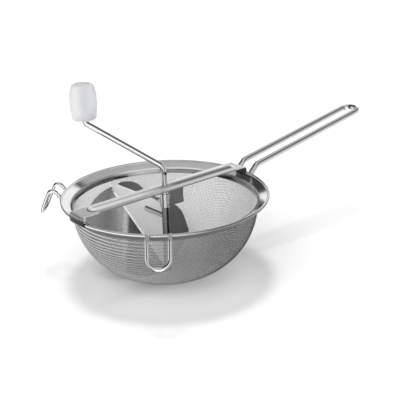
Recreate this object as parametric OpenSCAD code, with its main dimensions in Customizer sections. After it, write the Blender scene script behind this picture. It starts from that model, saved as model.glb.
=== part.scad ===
// Hand-cranked food mill.  A round wire-cloth sieve stands on its flat bottom.  A bridge across
// the rim carries a spring-loaded crank, which sweeps a sheet-metal press paddle over the cloth.
// Z is up and X runs along the handle.  The origin is the middle of the sieve's flat bottom, on
// the axis of the crank.

/* [Wire cloth bowl] */
// Outside radius of the upright edge of the cloth
cloth_r = 99.6; // [90:0.2:112]
// Thickness of the woven cloth
cloth_t = 0.6; // [0.4:0.1:1]
// Radius of the shoulder arc in the bowl's cross-section
shoulder_arc_r = 80; // [70:1:86]
// Radius of the shallow arc under the shoulder
bottom_arc_r = 127; // [118:1:140]
// Radius of the flat that the bowl stands on
base_r = 27.4; // [22:0.2:34]
// Height of the upright edge above the shoulder
upright_h = 2.9; // [2:0.1:8]
// Rows of openings from the bottom to the rim, a coarse stand-in for the weave
open_rows = 6; // [3:1:6]
// Width of the strips between the openings
open_bar = 4.5; // [3:0.5:6]

/* [Rim ring] */
// Thickness of the ring's sheet
ring_t = 0.7; // [0.5:0.1:1]
// Depth of the collar outside the cloth
collar_h = 4.5; // [3:0.5:8]
// Width of the sloping flange, from the cloth to the middle of its bead
flange_w = 10.9; // [8:0.1:16]
// Rise of the flange over that width
flange_rise = 5.4; // [3:0.1:8]
// Radius of the wired bead at the ring's outer edge
bead_r = 1.5; // [1:0.1:2.2]
// Height of the inner band that clamps the cloth
band_h = 5; // [3:0.5:8]
// Thickness of the inner band
band_t = 0.5; // [0.4:0.1:0.8]

/* [Handle] */
// Outside diameter of the handle's tube
handle_d = 6.5; // [5:0.1:8]
// Wall of the handle's tube
handle_wall = 0.6; // [0.5:0.1:1]
// Distance between the middles of the two legs
handle_gap = 21.1; // [18:0.1:26]
// Distance from the crank's axis to the tip of the loop, on the tube's middle line
handle_reach = 300; // [240:1:340]
// Rise of the handle's legs, in degrees
handle_rise = 9.6; // [4:0.2:16]

/* [Rest hooks] */
// Diameter of the hooks' wire
hook_d = 4; // [3:0.1:5]
// Distance between the middles of a hook's two legs
hook_gap = 22; // [16:0.5:28]
// Angle of each hook from the handle, in degrees
hook_angle = 131; // [110:1:150]
// How far the hook's tip lies outside the rim's edge
hook_reach = 25; // [18:0.5:34]
// Drop of the hook's tip below the rim's top
hook_drop = 25; // [16:0.5:36]

/* [Bridge] */
// Width of the bridge's strip
bar_w = 23; // [20:0.5:27]
// Thickness of the strip
bar_t = 1.2; // [0.8:0.1:1.8]
// Height of the strip above the rim's top
bar_lift = 5.8; // [4:0.1:8]
// Radius of the bends at the strip's two ends, on the inside
bar_bend = 2.5; // [1.5:0.1:4]
// Width of the rib pressed along the strip
rib_w = 12; // [9:0.5:14]
// Height of the rib above the strip
rib_h = 2.4; // [1.5:0.1:3.5]
// Width of the end that hooks over the rim
clip_w = 24; // [22:0.5:28]
// Distance from the crank's axis to the outside of the leg at the other end
leg_x = 108.5; // [106:0.1:110]

/* [Crank] */
// Diameter of the crank's rod
rod_d = 6; // [5:0.1:7]
// Distance from the crank's axis to the knob's axis
crank_r = 79.8; // [65:1:95]
// Slope of the crank's arm, in degrees
arm_rise = 33; // [24:0.5:40]
// Height of the arm's lower corner above the rim
arm_clear = 29.9; // [24:0.1:40]
// Direction of the arm at rest, in degrees from the handle
arm_angle = 142.6; // [120:0.2:170]

/* [Knob] */
// Height of the knob
knob_h = 37; // [30:0.5:42]
// Largest diameter of the knob
knob_d = 28.5; // [24:0.5:32]
// Diameter at the knob's top
knob_top_d = 22; // [20:0.5:24]
// Diameter at the knob's foot
knob_foot_d = 25; // [20:0.5:28]

/* [Spindle] */
// Outside diameter of the paddle's hub tube
hub_d = 8; // [7.4:0.1:10]
// Outside diameter of the spring cup on top of the hub
cup_d = 10.5; // [10.2:0.1:14]
// Wall of the spring cup
cup_wall = 0.75; // [0.5:0.05:0.8]
// Length of the spring cup
cup_h = 15.6; // [12:0.2:17]
// Depth of the cup's foot below the rim's top
cup_drop = 15.3; // [14:0.1:18]
// Diameter of the bearing bush's barrel
barrel_d = 8.6; // [8:0.1:8.8]
// Length of the barrel below the bridge
barrel_len = 11.3; // [8:0.1:12]
// Diameter of the spring's wire
spring_wire = 0.8; // [0.6:0.1:0.8]
// Turns of the spring
spring_turns = 6; // [4:1:6]

/* [Paddle] */
// Thickness of the paddle's sheet
sheet_t = 1; // [0.8:0.1:1.5]
// Direction of the paddle's web at rest, in degrees from the handle
web_angle = 91.6; // [60:0.2:120]
// Depth of the web's top below the rim's top
web_drop = 12; // [10:0.5:20]
// Length of the web's top edge from the crank's axis
web_len = 86.6; // [75:0.2:88]
// Slope of the press plate, in degrees
plate_tilt = 35.9; // [32:0.1:38]
// Direction of the plate's slope, in degrees from the web
plate_turn = -8.5; // [-14:0.5:-4]
// Diameter of the half-round rib along the web
web_rib_d = 5.5; // [4:0.1:7]
// Reach of that rib from the crank's axis
web_rib_len = 35; // [20:0.5:50]
// Depth of that rib below the web's top
web_rib_drop = 14; // [8:0.5:20]
// Slope of the lip folded along the web's top, in degrees
lip_slope = 10; // [4:1:16]

/* [Clearances] */
// Radial clearance of a turning fit
run_gap = 0.05; // [0.03:0.01:0.09]
// Gap between faces that turn or rest on each other
rest_gap = 0.3; // [0.2:0.05:0.4]
// Gap between the paddle and the cloth
sweep_gap = 0.4; // [0.3:0.05:0.8]
// Gap left for the weld where a wire lies against the ring
weld_gap = 0.05; // [0.02:0.01:0.1]

/* [Hidden] */
$fn = 96;
eps = 0.01;
far = 400;

// sides and steps of the swept wires
handle_sides = 16;
hook_sides = 12;
rod_sides = 20;
spring_sides = 6;
spring_steps = 16;

// bowl: the two arcs of the cross-section meet without a kink
shoulder_x = cloth_r - shoulder_arc_r;
bottom_z = sqrt(pow(bottom_arc_r, 2) - pow(base_r, 2));
shoulder_z = bottom_z - sqrt(pow(bottom_arc_r - shoulder_arc_r, 2) - pow(shoulder_x, 2));
flange_z = shoulder_z + upright_h;

// how far the cutters of the openings reach past the cloth on both sides
open_reach = 4 * cloth_t;

// rim ring
bead_x = cloth_r + flange_w;
bead_z = flange_z + flange_rise;
rim_h = bead_z + bead_r;
rim_r = bead_x + bead_r;
flange_x = cloth_r + ring_t / 2;
flange_slope = atan2(bead_z - flange_z, bead_x - flange_x);

// handle: a root under the flange, a short steep part, then the long leg
root_gap = 3.4;
root_x = cloth_r + ring_t + root_gap;
handle_bends = [8, 10];
handle_kink = [12.5, 5.5];
handle_toe_slope = 45;

// hooks
hook_bends = [4, 6];
hook_toe = 0.8;
hook_peak = [10.3, 8.8];

// bridge
bar_z = rim_h + bar_lift;
rib_end = 91;
rib_r = (pow(rib_w / 2, 2) + pow(rib_h, 2)) / (2 * rib_h);
rib_marks = [1.15, 1, 0.95, 0.85, 0.68, 0.45, 0.2, 0];
rib_cols = [0, 0.25, 0.5, 0.72, 0.9, 1];
clip_in_r = bead_r + rest_gap;
clip_wrap = 100;
end_round = 4;
bar_fields = 8;
leg_foot_z = flange_z + (leg_x - flange_x) * tan(flange_slope) + ring_t / 2 / cos(flange_slope)
    + rest_gap / cos(flange_slope);

// bearing, cup and spring
cup_foot_z = rim_h - cup_drop;
cup_in_r = cup_d / 2 - cup_wall;
cup_floor = 1.2;
bush_flange_w = 2.7;
bush_flange_t = 1;
barrel_foot_z = bar_z - barrel_len;
washer_t = 0.8;
washer_z = cup_foot_z + cup_floor + rest_gap / 2;
spring_r = (cup_in_r + rod_d / 2) / 2;
spring_z = washer_z + washer_t;
spring_h = barrel_foot_z - spring_z;

// spindle
bore_r = rod_d / 2 + run_gap;
floor_z = cloth_t + sweep_gap;
hub_foot_t = 1.5;

// crank
crank_bends = [11, 5.5];
arm_lap = 0.5;
arm_z = rim_h + arm_clear;
elbow_z = arm_z + crank_r * tan(arm_rise);
elbow_run = crank_bends[1] * tan((90 - arm_rise) / 2);
shoulder_gap = 0.2;
knob_washer_d = 13;
knob_washer_t = 0.8;
knob_washer_z = elbow_z + elbow_run + shoulder_gap;
knob_z = knob_washer_z + knob_washer_t + rest_gap;

// knob
knob_waist = 0.58;
knob_foot_edge = 1.8;
knob_top_edge = 4;
cap_d = 11;
cap_t = 2;
head_d = 9;
head_t = 1.5;
head_room = 4.1;
head_z = knob_z + knob_h - cap_t - head_room + rest_gap;

// paddle
web_top_z = rim_h - web_drop;
web_nose = 8.5;
plate_rest = 0.06;
plate_z = floor_z + sheet_t / cos(plate_tilt) + plate_rest;

// ---- helpers -------------------------------------------------------------------------------

function unit(v) = v / norm(v);
function turn_of(v) = atan2(v[1], v[0]);
function wrapped(a) = a > 180 ? a - 360 : a < -180 ? a + 360 : a;

// Paddle outlines are given in hundredths of the web's length
function web_share(c) = [for (q = c) q * web_len / 100];

// The corner at q, rounded to radius r, as n + 1 points of an arc
function corner(p, q, s, r, n = 8) =
    let (a = unit(p - q), b = unit(s - q), half = acos(a * b) / 2,
        mid = q + unit(a + b) * r / sin(half),
        from = turn_of(q + a * r / tan(half) - mid),
        sweep = wrapped(turn_of(q + b * r / tan(half) - mid) - from))
    [for (i = [0:n]) mid + r * [cos(from + sweep * i / n), sin(from + sweep * i / n)]];

// An outline whose corners, each given as [x, y, radius], are rounded
function rounded(c) = [for (i = [0:len(c) - 1])
    let (p = c[(i + len(c) - 1) % len(c)], q = c[i], s = c[(i + 1) % len(c)])
    each q[2] > 0 ? corner([p[0], p[1]], [q[0], q[1]], [s[0], s[1]], q[2]) : [[q[0], q[1]]]];

// An open path whose inner corners are rounded to the given bend radii
function bent(path, bends) = [for (i = [0:len(path) - 1])
    each i == 0 || i == len(path) - 1 ? [path[i]]
        : corner(path[i - 1], path[i], path[i + 1], bends[i - 1])];

// Directions along a list of points
function headings(pts) = [for (i = [0:len(pts) - 1])
    unit(pts[min(i + 1, len(pts) - 1)] - pts[max(i - 1, 0)])];

// Frames [place, direction, up] along a path in the XZ plane, moved sideways to y
function path_frames(pts, y) = let (heads = headings(pts))
    [for (i = [0:len(pts) - 1]) [[pts[i][0], y, pts[i][1]], [heads[i][0], 0, heads[i][1]],
        [-heads[i][1], 0, heads[i][0]]]];

// Frames of a loop: out along the path, a half ring round the end, and back
function loop_frames(pts, gap, steps = 16) = let (
        out = path_frames(pts, -gap / 2), back = path_frames(pts, gap / 2), last = len(pts) - 1,
        mid = (out[last][0] + back[last][0]) / 2, ahead = out[last][1], up = out[last][2])
    concat(out,
        [for (i = [1:steps - 1]) let (a = 180 * i / steps - 90)
            [mid + gap / 2 * (cos(a) * ahead + sin(a) * [0, 1, 0]),
                -sin(a) * ahead + cos(a) * [0, 1, 0], up]],
        [for (i = [last:-1:0]) [back[i][0], -back[i][1], back[i][2]]]);

function ring_points(frames, r, sides) = [for (f = frames, j = [0:sides - 1])
    f[0] + r * (cos(360 * j / sides) * f[2] + sin(360 * j / sides) * cross(f[2], f[1]))];

// Round wire along the frames, or a tube where wall is more than 0
module swept(frames, r, sides, wall = 0) {
    last = len(frames) - 1;
    inner = len(frames) * sides;
    skin = [for (i = [0:last - 1], j = [0:sides - 1]) let (k = (j + 1) % sides)
        [i * sides + j, i * sides + k, (i + 1) * sides + k, (i + 1) * sides + j]];
    bore = [for (f = skin) [for (i = [3:-1:0]) f[i] + inner]];
    ends = wall > 0
        ? [for (j = [0:sides - 1], e = [0, last * sides]) let (k = (j + 1) % sides,
            q = [k, j, j + inner, k + inner])
            [for (i = e > 0 ? [3:-1:0] : [0:3]) q[i] + e]]
        : [[for (j = [sides - 1:-1:0]) j], [for (j = [0:sides - 1]) last * sides + j]];
    polyhedron(
        concat(ring_points(frames, r, sides), wall > 0 ? ring_points(frames, r - wall, sides) : []),
        concat(skin, wall > 0 ? bore : [], ends));
}

// Points along an arc, by the angle from straight down
function arc(mid, r, from, to, steps) = [for (i = [0:steps]) let (a = from + (to - from) * i / steps)
    mid + r * [sin(a), -cos(a)]];

// Half of the bowl's cross-section, moved inwards by inset
function bowl_half(inset) = let (
        knee = atan2(shoulder_x, bottom_z - shoulder_z),
        flat = acos((bottom_z - inset) / (bottom_arc_r - inset)))
    concat([[0, flange_z], [0, inset]],
        arc([0, bottom_z], bottom_arc_r - inset, flat, knee, 6),
        arc([shoulder_x, shoulder_z], shoulder_arc_r - inset, knee + 2, 90, 24),
        [[cloth_r - inset, flange_z]]);

// ---- sieve ---------------------------------------------------------------------------------

// A place on the bowl's outside, by the distance along its cross-section from the flat's edge
function bowl_place(s) = let (
        knee = atan2(shoulder_x, bottom_z - shoulder_z), flat = asin(base_r / bottom_arc_r),
        low = PI * bottom_arc_r * (knee - flat) / 180, a = flat + 180 * s / (PI * bottom_arc_r),
        b = knee + 180 * (s - low) / (PI * shoulder_arc_r))
    s < 0 ? [[base_r + s, 0], [0, -1]]
    : s < low ? [[0, bottom_z] + bottom_arc_r * [sin(a), -cos(a)], [sin(a), -cos(a)]]
    : [[shoulder_x, shoulder_z] + shoulder_arc_r * [sin(b), -cos(b)], [sin(b), -cos(b)]];

// Rows of openings round the bowl, with as many in each row as its girth has room for
module cloth_openings() {
    knee = atan2(shoulder_x, bottom_z - shoulder_z);
    side = PI / 180 * (bottom_arc_r * (knee - asin(base_r / bottom_arc_r))
        + shoulder_arc_r * (90 - knee));
    first = open_bar - base_r;
    row = (side - band_h + upright_h - first) / open_rows;
    for (k = [0:open_rows - 1]) let (
            s = first + row * k, low = bowl_place(s), high = bowl_place(s + row - open_bar),
            mid = (low[0][0] + high[0][0]) / 2, count = max(6, round(2 * PI * mid / row)),
            gap = open_bar / mid * 180 / PI) {
        section = [for (p = [[low, 1], [high, 1], [high, -1], [low, -1]])
            p[0][0] + open_reach * p[1] * p[0][1]];
        for (i = [0:count - 1]) rotate([0, 0, 360 * i / count + gap / 2])
            rotate_extrude(angle = 360 / count - gap) polygon(section);
    }
}

module wire_cloth_bowl() {
    color("silver") difference() {
        rotate_extrude() difference() {
            polygon(bowl_half(0));
            polygon(bowl_half(cloth_t));
        }
        cloth_openings();
    }
}

// Collar, sloping flange and wired bead
module ring_section() {
    up = ring_t / 2 * [-sin(flange_slope), cos(flange_slope)];
    union() {
        translate([cloth_r, flange_z - collar_h]) square([ring_t, collar_h + ring_t / 4]);
        polygon([[flange_x, flange_z] - up, [bead_x, bead_z] - up, [bead_x, bead_z] + up,
            [flange_x, flange_z] + up]);
        translate([bead_x, bead_z]) circle(bead_r);
    }
}

module rim_ring() {
    color("gainsboro") rotate_extrude() ring_section();
}

// Band inside the cloth, which holds its edge against the collar
module cloth_clamp_band() {
    color("lightgray") rotate_extrude()
        translate([cloth_r - cloth_t - weld_gap - band_t, flange_z - band_h])
            square([band_t, band_h]);
}

// First point and slope of a wire that lies against the flange inside and the bead outside
function flange_mid_z(x) = flange_z + (x - flange_x) * tan(flange_slope);
function root_z(d) = flange_mid_z(root_x) - (d / 2 + ring_t / 2 + weld_gap) / cos(flange_slope);
function root_slope(d) =
    let (reach = [bead_x - root_x, bead_z - root_z(d)])
    turn_of(reach) - asin((d / 2 + bead_r + weld_gap) / norm(reach));
function root_end(d, x) = [x, root_z(d) + (x - root_x) * tan(root_slope(d))];

module handle_loop() {
    toe = root_end(handle_d, rim_r + 2);
    kink = [rim_r + handle_kink[0], toe[1] + (rim_r + handle_kink[0] - toe[0])
        * tan(handle_toe_slope)];
    tip_x = handle_reach - handle_gap / 2 * cos(handle_rise);
    path = [[root_x, root_z(handle_d)], toe, kink,
        [tip_x, kink[1] + (tip_x - kink[0]) * tan(handle_rise)]];
    color("silver") swept(loop_frames(bent(path, handle_bends), handle_gap), handle_d / 2,
        handle_sides, handle_wall);
}

module rest_hook() {
    toe = root_end(hook_d, rim_r + hook_toe);
    peak = [rim_r + hook_peak[0], rim_h + hook_peak[1]];
    tip = [rim_r + hook_reach, rim_h - hook_drop];
    path = [[root_x, root_z(hook_d)], toe, peak, tip - hook_gap / 2 * unit(tip - peak)];
    color("silver") swept(loop_frames(bent(path, hook_bends), hook_gap), hook_d / 2, hook_sides);
}

module rest_hook_left() {
    rotate([0, 0, hook_angle]) rest_hook();
}

module rest_hook_front() {
    rotate([0, 0, -hook_angle]) rest_hook();
}

// ---- bridge --------------------------------------------------------------------------------

// Height of the pressed rib at a place on the strip
function rib_lift(x, y) = let (d = norm([max(abs(x) - rib_end, 0), y]))
    d < rib_w / 2 ? sqrt(pow(rib_r, 2) - pow(d, 2)) - rib_r + rib_h : 0;

// How far a place lies along the strip's end, from 0 at the rib to 1 at the rim's bead
function end_share(x) = max(0, min(1, (abs(x) - rib_end) / (bead_x - rib_end)));
function eased(t) = t * t * (3 - 2 * t);

// Half the strip's width: flared towards the clip, with rounded corners at the foot of the leg
function half_width(x, z) = x < 0 ? bar_w / 2 + (clip_w - bar_w) / 2 * eased(end_share(x))
    : bar_w / 2 - end_round
        + sqrt(pow(end_round, 2) - pow(max(0, leg_foot_z - z + end_round), 2));

// Underside of the strip from the clip's lip to the leg's foot, seen from the side
function bar_line() = let (
        lip_x = -bead_x - clip_in_r, inner_x = leg_x - bar_t, steps = 14,
        curl = [for (i = [0:steps - 1]) let (a = 180 + clip_wrap - clip_wrap * i / steps)
            [-bead_x, bead_z] + clip_in_r * [cos(a), sin(a)]],
        over = corner([lip_x, bead_z], [lip_x, bar_z], [0, bar_z], bar_bend),
        down = corner([0, bar_z], [inner_x, bar_z], [inner_x, leg_foot_z], bar_bend))
    concat(curl, [[lip_x, bead_z]], over,
        [for (d = rib_marks) [-rib_end - d * rib_w / 2, bar_z]],
        [for (x = [1 - bar_fields:bar_fields - 1]) [x * rib_end / bar_fields, bar_z]],
        [for (i = [len(rib_marks) - 1:-1:0]) [rib_end + rib_marks[i] * rib_w / 2, bar_z]],
        down, [for (d = [1, 0.7, 0.35, 0.1, 0]) [inner_x, leg_foot_z + end_round * d]]);

// Stamped strip with its rib, one end wrapped round the bead, the other a leg on the flange
module bar_sheet() {
    line = bar_line();
    heads = headings(line);
    last = len(line) - 1;
    across = [for (side = [-1, 1]) [for (c = side < 0 ? [1:len(rib_cols) - 1] : [0:len(rib_cols) - 1])
        side < 0 ? -rib_cols[len(rib_cols) - c] : rib_cols[c]]];
    cols = concat([-2, -1.5], across[0], across[1], [1.5, 2]);
    n = len(cols);
    function col_y(x, z, c) = abs(c) <= 1 ? c * rib_w / 2
        : sign(c) * (rib_w / 2 + (half_width(x, z) - rib_w / 2) * (abs(c) - 1));
    function place(i, c, up) = let (
            x = line[i][0], y = col_y(x, line[i][1], c),
            bow = x < 0 ? (bead_x - sqrt(pow(bead_x, 2) - pow(y, 2))) * end_share(x) : 0,
            off = up + rib_lift(x, y))
        [x + bow - heads[i][1] * off, y, line[i][1] + heads[i][0] * off];
    top = [for (i = [0:last], c = cols) place(i, c, bar_t)];
    under = [for (i = [0:last], c = cols) place(i, c, 0)];
    b = len(top);
    faces = [for (i = [0:last - 1], j = [0:n - 2]) let (k = i * n + j)
        each [[k, k + 1, k + n + 1, k + n], [b + k, b + k + n, b + k + n + 1, b + k + 1]]];
    edges = [for (i = [0:last - 1]) let (k = i * n, m = i * n + n - 1)
        each [[k, k + n, b + k + n, b + k], [m, b + m, b + m + n, m + n]]];
    tips = [for (j = [0:n - 2]) let (k = last * n + j)
        each [[j + 1, j, b + j, b + j + 1], [k, k + 1, b + k + 1, b + k]]];
    polyhedron(concat(top, under), concat(faces, edges, tips));
}

module bridge_bar() {
    color("gainsboro") difference() {
        bar_sheet();
        translate([0, 0, bar_z - bar_t])
            cylinder(h = rib_h + 3 * bar_t, r = bore_r + rest_gap / 2);
    }
}

// Flanged bush welded under the bridge
module bearing_bush() {
    color("silver") difference() {
        union() {
            translate([0, 0, bar_z - bush_flange_t])
                cylinder(h = bush_flange_t, r = barrel_d / 2 + bush_flange_w);
            translate([0, 0, barrel_foot_z]) cylinder(h = barrel_len, r = barrel_d / 2);
        }
        translate([0, 0, barrel_foot_z - eps]) cylinder(h = barrel_len + 2 * eps, r = bore_r);
    }
}

// Helical wire with closed ends
module pressure_spring() {
    rings = spring_turns * spring_steps;
    rise = spring_h - spring_wire;
    frames = [for (i = [0:rings]) let (a = 360 * i / spring_steps)
        [[spring_r * cos(a), spring_r * sin(a), spring_z + spring_wire / 2 + rise * i / rings],
            [-sin(a), cos(a), 0], [cos(a), sin(a), 0]]];
    color("dimgray") swept(frames, spring_wire / 2, spring_sides);
}

// Washer between the still spring and the turning cup
module thrust_washer() {
    color("silver") translate([0, 0, washer_z]) difference() {
        cylinder(h = washer_t, r = cup_in_r - run_gap * 2);
        translate([0, 0, -eps]) cylinder(h = washer_t + 2 * eps, r = bore_r + run_gap);
    }
}

// ---- crank ---------------------------------------------------------------------------------

module spring_cup() {
    color("silver") translate([0, 0, cup_foot_z]) difference() {
        cylinder(h = cup_h, r = cup_d / 2);
        translate([0, 0, cup_floor]) cylinder(h = cup_h, r = cup_in_r);
        translate([0, 0, -eps]) cylinder(h = cup_floor + 2 * eps, r = rod_d / 2);
    }
}

module hub_tube() {
    color("silver") difference() {
        translate([0, 0, floor_z]) cylinder(h = cup_foot_z - floor_z, r = hub_d / 2);
        translate([0, 0, floor_z + hub_foot_t]) cylinder(h = far, r = rod_d / 2);
    }
}

// Straight pins at both ends, with the bent arm swept between them
module crank_rod() {
    foot = floor_z + hub_foot_t;
    shaft_top = arm_z - crank_bends[0] * tan((90 - arm_rise) / 2);
    pin_foot = elbow_z + elbow_run;
    arm = bent([[0, shaft_top - arm_lap], [0, arm_z], [crank_r, elbow_z],
        [crank_r, pin_foot + arm_lap]], crank_bends);
    color("silver") rotate([0, 0, arm_angle]) {
        translate([0, 0, foot]) cylinder(h = shaft_top - foot, r = rod_d / 2);
        swept(path_frames(arm, 0), rod_d / 2 / sqrt(cos(180 / rod_sides)), rod_sides);
        translate([crank_r, 0, pin_foot]) cylinder(h = head_z + head_t / 2 - pin_foot, r = rod_d / 2);
        translate([crank_r, 0, head_z]) cylinder(h = head_t, r = head_d / 2);
    }
}

// Puts its children in the plane of the press plate's upper face
module on_plate() {
    translate([0, 0, plate_z]) rotate([0, 0, plate_turn]) rotate([0, -plate_tilt, 0]) children();
}

// Room inside the bowl, less the spindle
module sweep_room() {
    difference() {
        rotate_extrude() polygon(bowl_half(floor_z));
        translate([0, 0, -far / 2]) cylinder(h = cup_foot_z + far / 2, r = hub_d / 2);
        translate([0, 0, cup_foot_z]) cylinder(h = far, r = cup_d / 2);
    }
}

// Upright web with the lip folded back along its top
module paddle_web() {
    lip = rounded(web_share([[17.3, 0.6, 0], [98.8, 0.6, 0], [108.5, -15, 4.6], [106.2, -30, 5.8],
        [92.4, -30, 9.2], [67, -19.6, 13.9], [37, -11, 13.9], [20.8, -10.6, 3.5]]));
    color("silver") rotate([0, 0, web_angle]) intersection() {
        sweep_room();
        union() {
            difference() {
                rotate([90, 0, 0]) linear_extrude(sheet_t, center = true)
                    polygon([[0, 0], [far, plate_z + far * tan(plate_tilt)],
                        [web_len + web_nose, web_top_z - web_nose], [web_len, web_top_z],
                        [0, web_top_z]]);
                on_plate() translate([-far, -far, -far]) cube([2 * far, 2 * far, far]);
            }
            translate([0, 0, web_top_z - sheet_t]) rotate([lip_slope, 0, 0])
                linear_extrude(sheet_t) polygon(lip);
        }
    }
}

// Half-round rib from the hub out along the front of the web
module web_rib() {
    rib_z = web_top_z - web_rib_drop;
    color("silver") rotate([0, 0, web_angle]) difference() {
        intersection() {
            translate([0, sheet_t / 2, rib_z]) {
                rotate([0, 90, 0]) cylinder(h = web_rib_len - web_rib_d / 2, r = web_rib_d / 2);
                translate([web_rib_len - web_rib_d / 2, 0, 0]) sphere(web_rib_d / 2);
            }
            translate([0, sheet_t / 2, rib_z - web_rib_d]) cube([far, web_rib_d, 2 * web_rib_d]);
        }
        translate([0, 0, rib_z - web_rib_d]) cylinder(h = 2 * web_rib_d, r = hub_d / 2);
    }
}

// Sloping plate that presses the food through the cloth
module paddle_press_plate() {
    lobe = web_share([[2.3, -4.6, 0], [25.4, -60, 16.2], [60, -73.9, 16.2], [76.2, -43.9, 18.5],
        [103.9, -9.2, 6.9], [106.2, 0, 0]]);
    outline = rounded(concat([[-hub_d / 2, 0, 0], [0, 0, 0]], lobe,
        [[far, 0, 0], [far, far, 0], [-hub_d / 2, far, 0]]));
    color("gray") rotate([0, 0, web_angle]) intersection() {
        sweep_room();
        on_plate() translate([-far, -far, -sheet_t]) cube([2 * far, 2 * far, sheet_t]);
        translate([0, 0, -far / 2]) linear_extrude(far) polygon(outline);
    }
}

// Flat leaf that trails behind the spindle
module paddle_rear_leaf() {
    leaf = rounded(web_share([[-6.4, 0.2, 0], [-8.7, -23.1, 5.8], [9.7, -37.5, 34.6],
        [33.1, -58.1, 34.6], [57.7, -78.5, 6.9], [60, -55.4, 9.2], [36.6, -28.2, 34.6],
        [8.1, -0.9, 0]]));
    color("dimgray") rotate([0, 0, web_angle]) intersection() {
        sweep_room();
        translate([0, 0, web_top_z - sheet_t]) linear_extrude(sheet_t) polygon(leaf);
    }
}

module knob_washer() {
    color("silver") rotate([0, 0, arm_angle]) translate([crank_r, 0, knob_washer_z])
        difference() {
            cylinder(h = knob_washer_t, r = knob_washer_d / 2);
            translate([0, 0, -eps]) cylinder(h = knob_washer_t + 2 * eps, r = rod_d / 2);
        }
}

// ---- knob ----------------------------------------------------------------------------------

// Barrel side: widest at the waist, easing to the foot and to the top
function barrel_r(t) = t < knob_waist
    ? knob_d / 2 - (knob_d - knob_foot_d) / 2 * pow(1 - t / knob_waist, 2)
    : knob_d / 2 - (knob_d - knob_top_d) / 2 * pow((t - knob_waist) / (1 - knob_waist), 2);

module knob() {
    steps = 12;
    side = [for (i = [1:steps - 1]) [barrel_r(i / steps), knob_h * i / steps, 0]];
    profile = rounded(concat([[0, 0, 0], [barrel_r(0), 0, knob_foot_edge]], side,
        [[barrel_r(1), knob_h, knob_top_edge], [0, knob_h, 0]]));
    color("whitesmoke") rotate([0, 0, arm_angle]) translate([crank_r, 0, knob_z]) difference() {
        rotate_extrude() polygon(profile);
        translate([0, 0, -eps]) cylinder(h = knob_h, r = bore_r);
        translate([0, 0, knob_h - cap_t - head_room]) cylinder(h = far, r = cap_d / 2);
    }
}

// Plug that closes the knob's top over the rod's head
module knob_cap() {
    color("white") rotate([0, 0, arm_angle]) translate([crank_r, 0, knob_z + knob_h - cap_t])
        cylinder(h = cap_t, r = cap_d / 2);
}

// ---- parts ---------------------------------------------------------------------------------

wire_cloth_bowl();
rim_ring();
cloth_clamp_band();
handle_loop();
rest_hook_left();
rest_hook_front();
bridge_bar();
bearing_bush();
pressure_spring();
thrust_washer();
spring_cup();
hub_tube();
crank_rod();
paddle_web();
web_rib();
paddle_press_plate();
paddle_rear_leaf();
knob_washer();
knob();
knob_cap();
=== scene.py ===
"""Hand-cranked food mill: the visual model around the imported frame."""
import math

import bmesh
import bpy
import numpy as np
from mathutils import Matrix, Vector


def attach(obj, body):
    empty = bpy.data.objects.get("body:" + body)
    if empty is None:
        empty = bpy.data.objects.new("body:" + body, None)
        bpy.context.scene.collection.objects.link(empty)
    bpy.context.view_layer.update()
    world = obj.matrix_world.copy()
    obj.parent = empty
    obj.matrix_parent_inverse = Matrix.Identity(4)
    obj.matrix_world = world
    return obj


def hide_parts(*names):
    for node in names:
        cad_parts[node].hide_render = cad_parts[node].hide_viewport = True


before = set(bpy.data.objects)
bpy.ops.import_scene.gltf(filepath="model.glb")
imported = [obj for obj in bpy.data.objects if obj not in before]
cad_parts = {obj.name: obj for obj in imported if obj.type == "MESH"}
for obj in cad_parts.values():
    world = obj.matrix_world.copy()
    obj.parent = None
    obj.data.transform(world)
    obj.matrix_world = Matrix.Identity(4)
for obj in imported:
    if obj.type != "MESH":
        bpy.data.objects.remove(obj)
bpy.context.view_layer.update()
scene = bpy.context.scene
MM = 0.001

# ---- camera: built for a 400 x 400 image -----------------------------------------------------

IMAGE_PX = 400
FOCAL_PX = 960.06
SENSOR_MM = 36.0
CAMERA_PLACE = Vector((-0.582997, -0.762717, 0.456433))
CAMERA_RIGHT = Vector((0.763726, -0.645054, -0.025037))
CAMERA_AHEAD = Vector((0.594189, 0.717604, -0.363295))


def add_camera():
    right = CAMERA_RIGHT.normalized()
    ahead = (CAMERA_AHEAD - CAMERA_AHEAD.dot(right) * right).normalized()
    up = right.cross(ahead)
    data = bpy.data.cameras.new("camera")
    data.sensor_fit = "HORIZONTAL"
    data.sensor_width = SENSOR_MM
    data.lens = FOCAL_PX / IMAGE_PX * SENSOR_MM
    data.clip_start, data.clip_end = 0.05, 30.0
    obj = bpy.data.objects.new("camera", data)
    turn = Matrix((right, up, -ahead)).transposed().to_4x4()
    obj.matrix_world = Matrix.Translation(CAMERA_PLACE) @ turn
    scene.collection.objects.link(obj)
    scene.camera = obj


add_camera()

# ---- materials -------------------------------------------------------------------------------


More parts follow.
